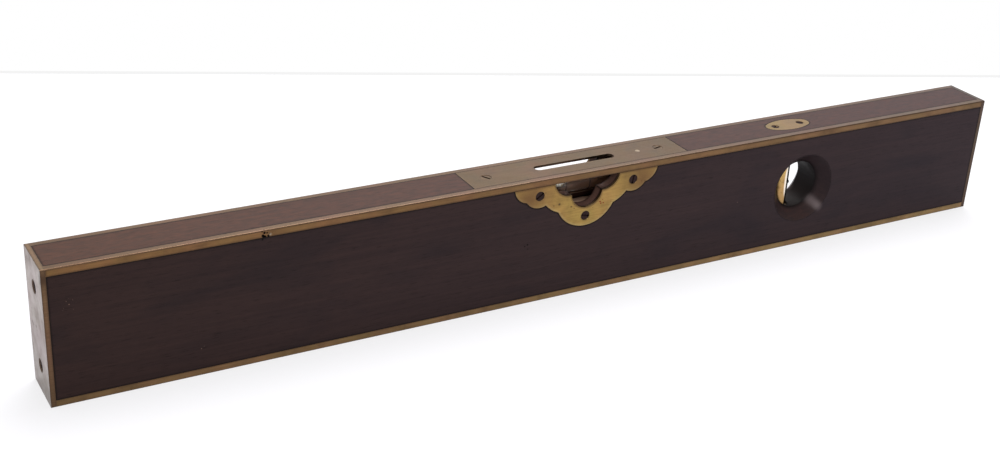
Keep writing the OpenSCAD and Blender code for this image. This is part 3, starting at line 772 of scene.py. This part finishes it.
def half_tube(look):
    """Drawn brass of the plumb vial's case with painted highlights: a paler tone on the faces that
    look along Y, out of the port, and a pale band where light catches the tube along its cut
    edges, just above the middle of the port."""
    material = brass("drawn_brass_plumb_case", [look.case, ((0, 1, 0), look.case_highlight)],
                     look.tarnish_and_shade, 2.5, 0.8, 0.32, foot=0.9, wear_and_highlight=None)
    tree = material.node_tree
    place = add(tree, "TexCoord").outputs["Object"]
    low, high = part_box("plumb_vial_case")
    cut = ((low.x + high.x) / 2, 0.0, (PORT_CENTRE[2] + 3.0) * MM)
    # Painted highlight along the cut edges
    rim = oval(tree, place, cut, (1.0, 0.0, 0.12), 1.6 * MM, 1.1 * MM)
    share = add(tree, "Math", {0: rim, 1: 0.85}, operation="MULTIPLY")
    paint(material, share.outputs["Value"], (1.0, 0.92, 0.8))
    return material


def mottled(name, scale, detail, low, high, **constants):
    """A surface in soft clouds of two colours, scale of them to a millimetre."""
    material, tree, surface, mm = new_material(name, **constants)
    clouds = add(tree, "TexNoise", {"Vector": mm, "Scale": scale, "Detail": detail})
    colour = add(
        tree,
        "Mix",
        {0: clouds.outputs["Fac"], COLOUR_A: (*low, 1), COLOUR_B: (*high, 1)},
        data_type="RGBA",
    )
    tree.links.new(colour.outputs[COLOUR_OUT], surface.inputs["Base Color"])
    return material


def browned_steel():
    """Steel screws, browned by age: nearly black with a purple cast, and the rust on them takes
    their shine away."""
    return mottled("browned_steel", 0.9, 4.0, linear("1a1013"), linear("33231f"),
                   Specular_IOR_Level=0.08, Roughness=0.6)


def drawn_steel():
    """Steel wire and pins, drawn bright and gone dull: a grey metal with faint stains."""
    return mottled("drawn_steel", 0.7, 4.0, linear("6e6c6a"), linear("a5a3a0"),
                   Metallic=1.0, Roughness=0.35)


def plaster():
    """Plaster of Paris, poured and set: off-white and dead matt, with fine grains."""
    return mottled("set_plaster", 1.5, 5.0, linear("c9c0b0"), linear("e8e2d6"), Roughness=0.9)


def line_filler(look):
    """Black wax rubbed into an etched line: matt and almost black."""
    return mottled("line_filler", 3.0, 2.0, look.line, linear("2a2622"), Roughness=0.6)


def vial_glass(look):
    """Drawn soda glass: clear, with a highlight down its length and dark edges, where it bends
    the view round to the dark wood; the dark of those edges is also painted in."""
    material, tree, surface, _ = new_material(
        "drawn_glass", Roughness=0.0, Transmission_Weight=1.0, IOR=1.5
    )
    # Painted shade: at grazing angles the glass's colour turns to the index line's black
    facing = add(tree, "LayerWeight", {"Blend": 0.5}).outputs["Facing"]
    edge = add(tree, "MapRange", {"Value": facing, "From Min": 0.56, "From Max": 0.68})
    colour = add(
        tree,
        "Mix",
        {0: edge.outputs["Result"], COLOUR_A: (*look.glass, 1), COLOUR_B: (*look.line, 1)},
        data_type="RGBA",
    )
    tree.links.new(colour.outputs[COLOUR_OUT], surface.inputs["Base Color"])
    return material


def dusty_painted_glass(look):
    """The same glass in the mortise: clear on top, where the bubble is read, and brown on its
    flanks: dust, and a painted view of the lit wood that the glass shows. Its Alpha lets some
    light through to the mortise behind it, which glass that bends light would leave in the dark."""
    material, tree, surface, mm = new_material("dusty_painted_glass", IOR=1.3)
    normal = add(tree, "NewGeometry").outputs["True Normal"]
    up = add(tree, "SeparateXYZ", {0: normal}).outputs["Z"]
    top = add(tree, "MapRange", {"Value": up, "From Min": 0.5, "From Max": 0.85})
    # A wiped place on each flank, clear of the painted brown, through which the far window shows
    front, rear = (
        oval(tree, mm, centre, (0.45, 1.0, 1.0), 2.6, 1.8)
        for centre in ((-13.6, -6.1, 72.1), (-4.8, 6.3, 65.9))
    )
    clean = highest(tree, top.outputs["Result"], front, rear)
    # Dust and painted brown on the flanks, standing in for the lit wood seen through the glass
    colour = add(
        tree,
        "Mix",
        {0: clean, COLOUR_A: (*look.dust_and_painted_light, 1), COLOUR_B: (*look.glass, 1)},
        data_type="RGBA",
    )
    tree.links.new(colour.outputs[COLOUR_OUT], surface.inputs["Base Color"])
    for socket, dusty_and_painted, clear in (
        ("Roughness", 0.3, 0.02),
        ("Alpha", 0.7, 0.2),
        ("Transmission Weight", 0.7, 1.0),
    ):
        value = add(tree, "MapRange", {"Value": clean, "To Min": dusty_and_painted, "To Max": clear})
        tree.links.new(value.outputs["Result"], surface.inputs[socket])
    return material


def spirit(name, tint, **constants):
    """Spirit in a vial: clear and faintly yellow."""
    material, _, surface, _ = new_material(name, Roughness=0.0, **constants)
    surface.inputs["Base Color"].default_value = (*tint, 1)
    return material


def air_in_spirit(look):
    """Air in a vial's spirit: clear in the middle, with a painted dark rim that tells a bubble,
    standing in for the light that a real bubble's edge bends away.
    """
    material, tree, surface, _ = new_material("bubble_air", Roughness=0.1, IOR=1.0)
    facing = add(tree, "LayerWeight", {"Blend": 0.5}).outputs["Facing"]
    # Painted shade: the rim darkens towards grazing angles
    rim = add(
        tree, "MapRange", {"Value": facing, "From Min": 0.3, "From Max": 0.7}
    ).outputs["Result"]
    film = add(tree, "MapRange", {"Value": rim, "To Min": 0.3, "To Max": 0.9})
    tree.links.new(film.outputs["Result"], surface.inputs["Alpha"])
    colour = add(
        tree,
        "Mix",
        {0: rim, COLOUR_A: WHITE, COLOUR_B: (*look.line, 1)},
        data_type="RGBA",
    )
    tree.links.new(colour.outputs[COLOUR_OUT], surface.inputs["Base Color"])
    return material


# Pieces


def dress(material, *names):
    """Gives the material to CAD nodes."""
    for name in names:
        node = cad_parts[name]
        node.data.materials.clear()
        node.data.materials.append(material)


def coil(centre, axis, radius, turns=1, climb=0.0):
    """Points on a ring round an axis, or on a coil that climbs along it."""
    axis = Vector(axis)
    side = axis.orthogonal().normalized()
    other = axis.cross(side)
    steps = 48 * turns
    points = []
    for i in range(steps + 1):
        turn = 2 * math.pi * turns * i / steps
        out = side * math.cos(turn) + other * math.sin(turn)
        points.append(centre + out * radius + axis * (climb * i / steps))
    return points


def wire(name, points, axis, thickness, material):
    """A wire of round section through the points of a coil round that axis."""
    sides = 8
    mesh = bmesh.new()
    rings = []
    for i, point in enumerate(points):
        ahead = points[min(i + 1, len(points) - 1)] - points[max(i - 1, 0)]
        out = ahead.cross(Vector(axis)).normalized()
        up = out.cross(ahead).normalized()
        circle = []
        for k in range(sides):
            lean = 2 * math.pi * k / sides
            off = out * math.cos(lean) + up * math.sin(lean)
            circle.append(mesh.verts.new(point + off * (thickness / 2)))
        rings.append(circle)
    for low, high in zip(rings, rings[1:]):
        for k in range(sides):
            mesh.faces.new((low[k], low[(k + 1) % sides], high[(k + 1) % sides], high[k]))
    mesh.faces.new(reversed(rings[0]))
    mesh.faces.new(rings[-1])
    bmesh.ops.recalc_face_normals(mesh, faces=mesh.faces)
    data = bpy.data.meshes.new(name)
    mesh.to_mesh(data)
    mesh.free()
    for face in data.polygons:
        face.use_smooth = True
    data.materials.append(material)
    piece = bpy.data.objects.new(name, data)
    bpy.context.scene.collection.objects.link(piece)
    return piece


class LEVEL_OT_dress_stock(bpy.types.Operator):
    """Gives the stock its waxed rosewood"""

    bl_idname = "level.dress_stock"
    bl_label = "Rosewood stock"

    def execute(self, context):
        dress(rosewood(context.scene.level_wood), "stock")
        return {"FINISHED"}


class LEVEL_OT_dress_bindings(bpy.types.Operator):
    """Gives the bindings and the end plates their aged brass"""

    bl_idname = "level.dress_bindings"
    bl_label = "Bindings and end plates"

    def execute(self, context):
        look = context.scene.level_brass
        upward, endward = (0, 0, 1), (1, 0, 0)
        # The top faces take the darker upper tone: dust and painted shade
        tones = [look.front, (upward, look.upper)]
        top_rod = brass("rolled_brass_top_rod", tones, look.tarnish_and_shade, 14.0, 0.45, 0.36,
                        edge_mm=2.2, line=0.85, ends=((1.02, 0.97, 0.88), (1.03, 1.08, 1.18)))
        pore_and_shade = context.scene.level_wood.pore_and_shade
        # A nick near the left end, and a pale speck beside it
        patch(top_rod, (-208.5, FRONT_MM, 79.4), 5.5, pore_and_shade, 1.3, 1.6)
        patch(top_rod, (-205.4, FRONT_MM, 79.6), 1.2, look.rivet, 0.9)
        dress(top_rod, "front_top_binding", "rear_top_binding")
        # The top faces take the darker upper tone here too: dust and painted shade
        tones = [look.sole, (upward, look.upper)]
        dress(
            brass("rolled_brass_sole_rod", tones, look.tarnish_and_shade, 14.0, 0.5, 0.38, edge_mm=1.6,
                  line=0.5, ends=((0.68, 0.72, 0.74), (1.1, 1.25, 1.2))),
            "front_sole_binding",
            "rear_sole_binding",
        )
        # The outer faces take a grey tone painted with the pale room they reflect, and foot
        # darkens the plates towards the sole as painted shade, the shadowed floor seen in them
        for name, edge, top in (
            ("left_end_plate", look.end_edge, look.upper_end),
            ("right_end_plate", look.dark_edge, look.dark_edge),
        ):
            plate = brass("rolled_brass_" + name, [edge, (endward, look.end), (upward, top)],
                          look.tarnish_and_shade, 9.0, 0.35, 0.34, face=(0, 0, 0), edge_mm=2.0, wear_and_highlight=None,
                          line=0.85, foot=0.55)
            # Grime at the upper front corner and pits near the middle of the left plate
            patch(plate, (-329.0, FRONT_MM, 77.0), 7.0, look.tarnish_and_shade, 0.9)
            for height, across in ((48.6, 11.3), (39.9, 3.4), (38.1, 10.3)):
                patch(plate, (-HALF_LENGTH_MM, across, height), 4.5, look.tarnish_and_shade, 0.9, 2.4)
            dress(plate, name)
        return {"FINISHED"}


class LEVEL_OT_dress_plates(bpy.types.Operator):
    """Gives the top plate, the side plates and the oval cover their brass"""

    bl_idname = "level.dress_plates"
    bl_label = "Top plate, side plates and cover"

    def execute(self, context):
        look = context.scene.level_brass
        pore_and_shade = context.scene.level_wood.pore_and_shade
        # The long edges of the top plate are seams against the bindings, its ends are rubbed and
        # carry a painted highlight
        dress(
            brass("filed_brass_top_plate", [look.top], look.tarnish_and_shade, 9.0, 0.4, 0.38, cut=0.85,
                  out=(1, -1, 0), edge_mm=1.8, wear_and_highlight=(0.3, 0.35, 0.4)),
            "top_plate",
            "top_plate_screws",
        )
        dress(
            brass("riveted_brass_screw", [look.rivet], look.tarnish_and_shade, 3.0, 0.4, 0.34, wear_and_highlight=None),
            "level_adjusting_screw",
        )
        # The side plates' bright, bluish rim is rubbed wear with a painted highlight
        side = brass("filed_brass_side_plate", [look.side], look.tarnish_and_shade, 7.0, 0.3, 0.34,
                     face=(0, 1, 0), middle=(0, 0, 90), out=(0, 0, 1), edge_mm=3.0,
                     wear_and_highlight=(0.1, 0.25, 0.7), cut=0.85, spots=0.75)
        for across in (FRONT_MM, -FRONT_MM):
            # The ears are duller, and a few spots have gone red or black
            for ear in (-41.0, 40.0):
                patch(side, (ear, across, 72.0), 25.0, look.ear, 0.8)
            patch(side, (-19.4, across, 64.4), 1.3, look.tarnish_and_shade, 1.0)
            patch(side, (11.3, across, 59.8), 5.5, look.copper, 0.6, 2.0)
            # The mouths of the screws' countersinks are near black: dirt, and painted shade that
            # takes the lamp's glint off them
            for x, height in SIDE_SCREWS:
                patch(side, (x, across, height), 3.2, pore_and_shade, 1.0, solid=0.9)
        dress(side, "front_side_plate", "rear_side_plate")
        # The cover's bright rim is rubbed wear with a painted highlight
        dress(
            brass("filed_brass_cover", [look.cover], look.tarnish_and_shade, 8.0, 0.2, 0.34, cut=0.85,
                  middle=(166.7, 0, 82.5), edge_mm=1.5, wear_and_highlight=(0.1, 0.15, 0.3)),
            "plumb_cover",
        )
        return {"FINISHED"}


class LEVEL_OT_dress_screws(bpy.types.Operator):
    """Gives the wood screws their browned steel"""

    bl_idname = "level.dress_screws"
    bl_label = "Wood screws"

    def execute(self, context):
        dress(browned_steel(), "end_plate_screws", "side_plate_screws", "plumb_cover_screws")
        return {"FINISHED"}


class LEVEL_OT_dress_mechanism(bpy.types.Operator):
    """Gives the vial cases, the hinge and the spring their metals"""

    bl_idname = "level.dress_mechanism"
    bl_label = "Vial cases, hinge and spring"

    def execute(self, context):
        look = context.scene.level_brass
        dress(half_tube(look), "plumb_vial_case")
        dress(
            brass("drawn_brass_level_case", [look.hidden], look.tarnish_and_shade, 6.0, 0.5, 0.42),
            "level_vial_case",
            "level_hinge_bracket",
        )
        steel = drawn_steel()
        dress(steel, "level_hinge_pin")
        dress(plaster(), "level_vial_plaster", "plumb_vial_plaster")
        # A coil of round wire takes the place of the spring, which is hidden
        low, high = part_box("level_spring")
        middle = (low + high) / 2
        start = Vector((middle.x, middle.y, low.z + WIRE / 2))
        radius = (high.y - low.y - WIRE) / 2
        climb = high.z - low.z - WIRE
        points = coil(start, (0, 0, 1), radius, SPRING_TURNS, climb)
        spring = wire("level_spring_coil", points, (0, 0, 1), WIRE, steel)
        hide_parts("level_spring")
        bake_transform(spring)
        return {"FINISHED"}


class LEVEL_OT_dress_vials(bpy.types.Operator):
    """Gives the vials their glass, spirit and bubbles, and draws their index lines"""

    bl_idname = "level.dress_vials"
    bl_label = "Vials and index lines"

    def execute(self, context):
        look = context.scene.level_vials
        dress(vial_glass(look), "plumb_vial")
        dress(dusty_painted_glass(look), "level_vial")
        clear = spirit("plumb_spirit", look.spirit, IOR=1.36, Transmission_Weight=1.0)
        dress(clear, "plumb_spirit")
        # A thin veil of colour, which leaves the light its straight way into the mortise
        dress(spirit("level_spirit", look.yellow, IOR=1.0, Alpha=0.25), "level_spirit")
        dress(air_in_spirit(look), "level_bubble", "plumb_bubble")
        filler = line_filler(look)
        low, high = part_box("level_vial")
        centre = (low + high) / 2
        radius = (high.y - low.y) / 2
        bubble_low, bubble_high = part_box("level_bubble")
        half = (bubble_high.x - bubble_low.x) / 2 + LINE_GAP
        for side, name in ((-1, "left"), (1, "right")):
            points = coil(centre + Vector((side * half, 0, 0)), (1, 0, 0), radius)
            line = wire(f"level_vial_{name}_line", points, (1, 0, 0), look.line_width,
                        filler)
            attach(line, "vial_case")
        low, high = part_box("plumb_vial")
        centre = (low + high) / 2
        radius = (high.y - low.y) / 2
        line = wire("plumb_vial_line", coil(centre, (0, 0, 1), radius), (0, 0, 1),
                    PLUMB_LINE * look.line_width, filler)
        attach(line, "level")
        return {"FINISHED"}


def seen(tree):
    """1 for the camera, for reflections and through glass, 0 for the light on other things."""
    path = add(tree, "LightPath").outputs
    return highest(
        tree, path["Is Camera Ray"], path["Is Glossy Ray"], path["Is Transmission Ray"]
    )


def stage_material(name, colour, glow, strength):
    """A pale surface with the shadows of the room on it, of which the camera sees the share glow
    as an even light of that strength."""
    material = bpy.data.materials.new(name)
    material.use_nodes = True
    tree = material.node_tree
    tree.nodes.clear()
    share = add(tree, "Math", {0: seen(tree), 1: glow}, operation="MULTIPLY")
    matt = add(tree, "BsdfDiffuse", {"Color": (*colour, 1)})
    white = add(tree, "Emission", {"Color": WHITE, "Strength": strength})
    both = add(
        tree,
        "MixShader",
        {0: share.outputs["Value"], 1: matt.outputs["BSDF"], 2: white.outputs["Emission"]},
    )
    output = add(tree, "OutputMaterial", {"Surface": both.outputs["Shader"]})
    output.is_active_output = True
    return material


def stage_sheet(name, corners, material):
    """A flat sheet of the stage."""
    data = bpy.data.meshes.new(name)
    data.from_pydata(corners, [], [tuple(range(len(corners)))])
    data.materials.append(material)
    sheet = bpy.data.objects.new(name, data)
    bpy.context.scene.collection.objects.link(sheet)
    return sheet


def lamp(name, at, towards, size, power):
    """A large soft lamp."""
    data = bpy.data.lights.new(name, "AREA")
    data.shape = "DISK"
    data.size = size
    data.energy = power
    piece = bpy.data.objects.new(name, data)
    piece.location = at
    piece.rotation_euler = (Vector(towards) - Vector(at)).to_track_quat("-Z", "Y").to_euler()
    bpy.context.scene.collection.objects.link(piece)
    return piece


class LEVEL_OT_set_stage(bpy.types.Operator):
    """Sets the table, a strip of painted shade along its far edge, the lamps, the room light and
    the camera
    """

    bl_idname = "level.set_stage"
    bl_label = "Stage"

    def execute(self, context):
        look = context.scene.level_stage
        scene = context.scene
        # The table ends behind the level, on a line that runs a little askew, at a low strip of
        # painted shade
        reach = 6.0
        left, right = Vector((-0.24, 0.497, 0)), Vector((0.568, 0.18, 0))
        away = (right - left).normalized() * reach
        left, right, near = left - away, right + away, Vector((0, -2 * reach, 0))
        stage_sheet(
            "table",
            [left + near, right + near, right, left],
            stage_material("white_table", look.table, 0.7, 1.0),
        )
        # A grey strip 2.5 mm high, which glows at 0.9: painted shade where the table meets the
        # room
        up = Vector((0, 0, 2.5 * MM))
        shade_strip = stage_sheet(
            "shade_strip",
            [left, right, right + up, left + up],
            stage_material("painted_shade_strip", look.table, 1.0, 0.9),
        )
        shade_strip.visible_shadow = False
        shade_strip.visible_diffuse = False
        lamp("key_lamp", (0.35, 0.5, 1.4), (0, 0, 0), 1.3, look.key_power)
        lamp("fill_lamp", (-0.45, -1.1, 1.1), (0, 0, 0), 0.5, look.fill_power)
        world = bpy.data.worlds.new("pale_room")
        world.use_nodes = True
        tree = world.node_tree
        tree.nodes.clear()
        strength = add(tree, "MapRange", {"Value": seen(tree), "To Min": look.sky})
        room = add(
            tree, "Background", {"Color": WHITE, "Strength": strength.outputs["Result"]}
        )
        add(tree, "OutputWorld", {"Surface": room.outputs["Background"]})
        scene.world = world
        data = bpy.data.cameras.new("camera")
        data.lens = look.lens
        data.sensor_width = 36.0
        data.clip_start = 0.01
        camera = bpy.data.objects.new("camera", data)
        camera.location = look.camera_at
        camera.rotation_euler = look.camera_turn
        scene.collection.objects.link(camera)
        scene.camera = camera
        scene.view_settings.view_transform = "Standard"
        return {"FINISHED"}


OPERATORS = (
    LEVEL_OT_dress_stock,
    LEVEL_OT_dress_bindings,
    LEVEL_OT_dress_plates,
    LEVEL_OT_dress_screws,
    LEVEL_OT_dress_mechanism,
    LEVEL_OT_dress_vials,
    LEVEL_OT_set_stage,
)


class LEVEL_PT_pieces(bpy.types.Panel):
    """Lists the sizes, the colours and the operators"""

    bl_idname = "LEVEL_PT_pieces"
    bl_label = "Plumb and level"
    bl_space_type = "VIEW_3D"
    bl_region_type = "UI"
    bl_category = "Level"

    def draw(self, context):
        for name in LOOKS:
            box = self.layout.box()
            for key in getattr(context.scene, name).bl_rna.properties.keys():
                if key not in ("rna_type", "name"):
                    box.prop(getattr(context.scene, name), key)
        for operator in OPERATORS:
            self.layout.operator(operator.bl_idname)


LOOKS = {
    "level_wood": WoodLook,
    "level_brass": BrassLook,
    "level_vials": VialLook,
    "level_stage": StageLook,
}


def register():
    for group in LOOKS.values():
        bpy.utils.register_class(group)
    for name, group in LOOKS.items():
        setattr(bpy.types.Scene, name, bpy.props.PointerProperty(type=group))
    for operator in OPERATORS:
        bpy.utils.register_class(operator)
    bpy.utils.register_class(LEVEL_PT_pieces)


def unregister():
    bpy.utils.unregister_class(LEVEL_PT_pieces)
    for operator in reversed(OPERATORS):
        bpy.utils.unregister_class(operator)
    for name, group in LOOKS.items():
        delattr(bpy.types.Scene, name)
        bpy.utils.unregister_class(group)


def main():
    """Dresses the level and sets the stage."""
    register()
    for operator in OPERATORS:
        group, name = operator.bl_idname.split(".")
        getattr(getattr(bpy.ops, group), name)()


if __name__ == "__main__":
    main()
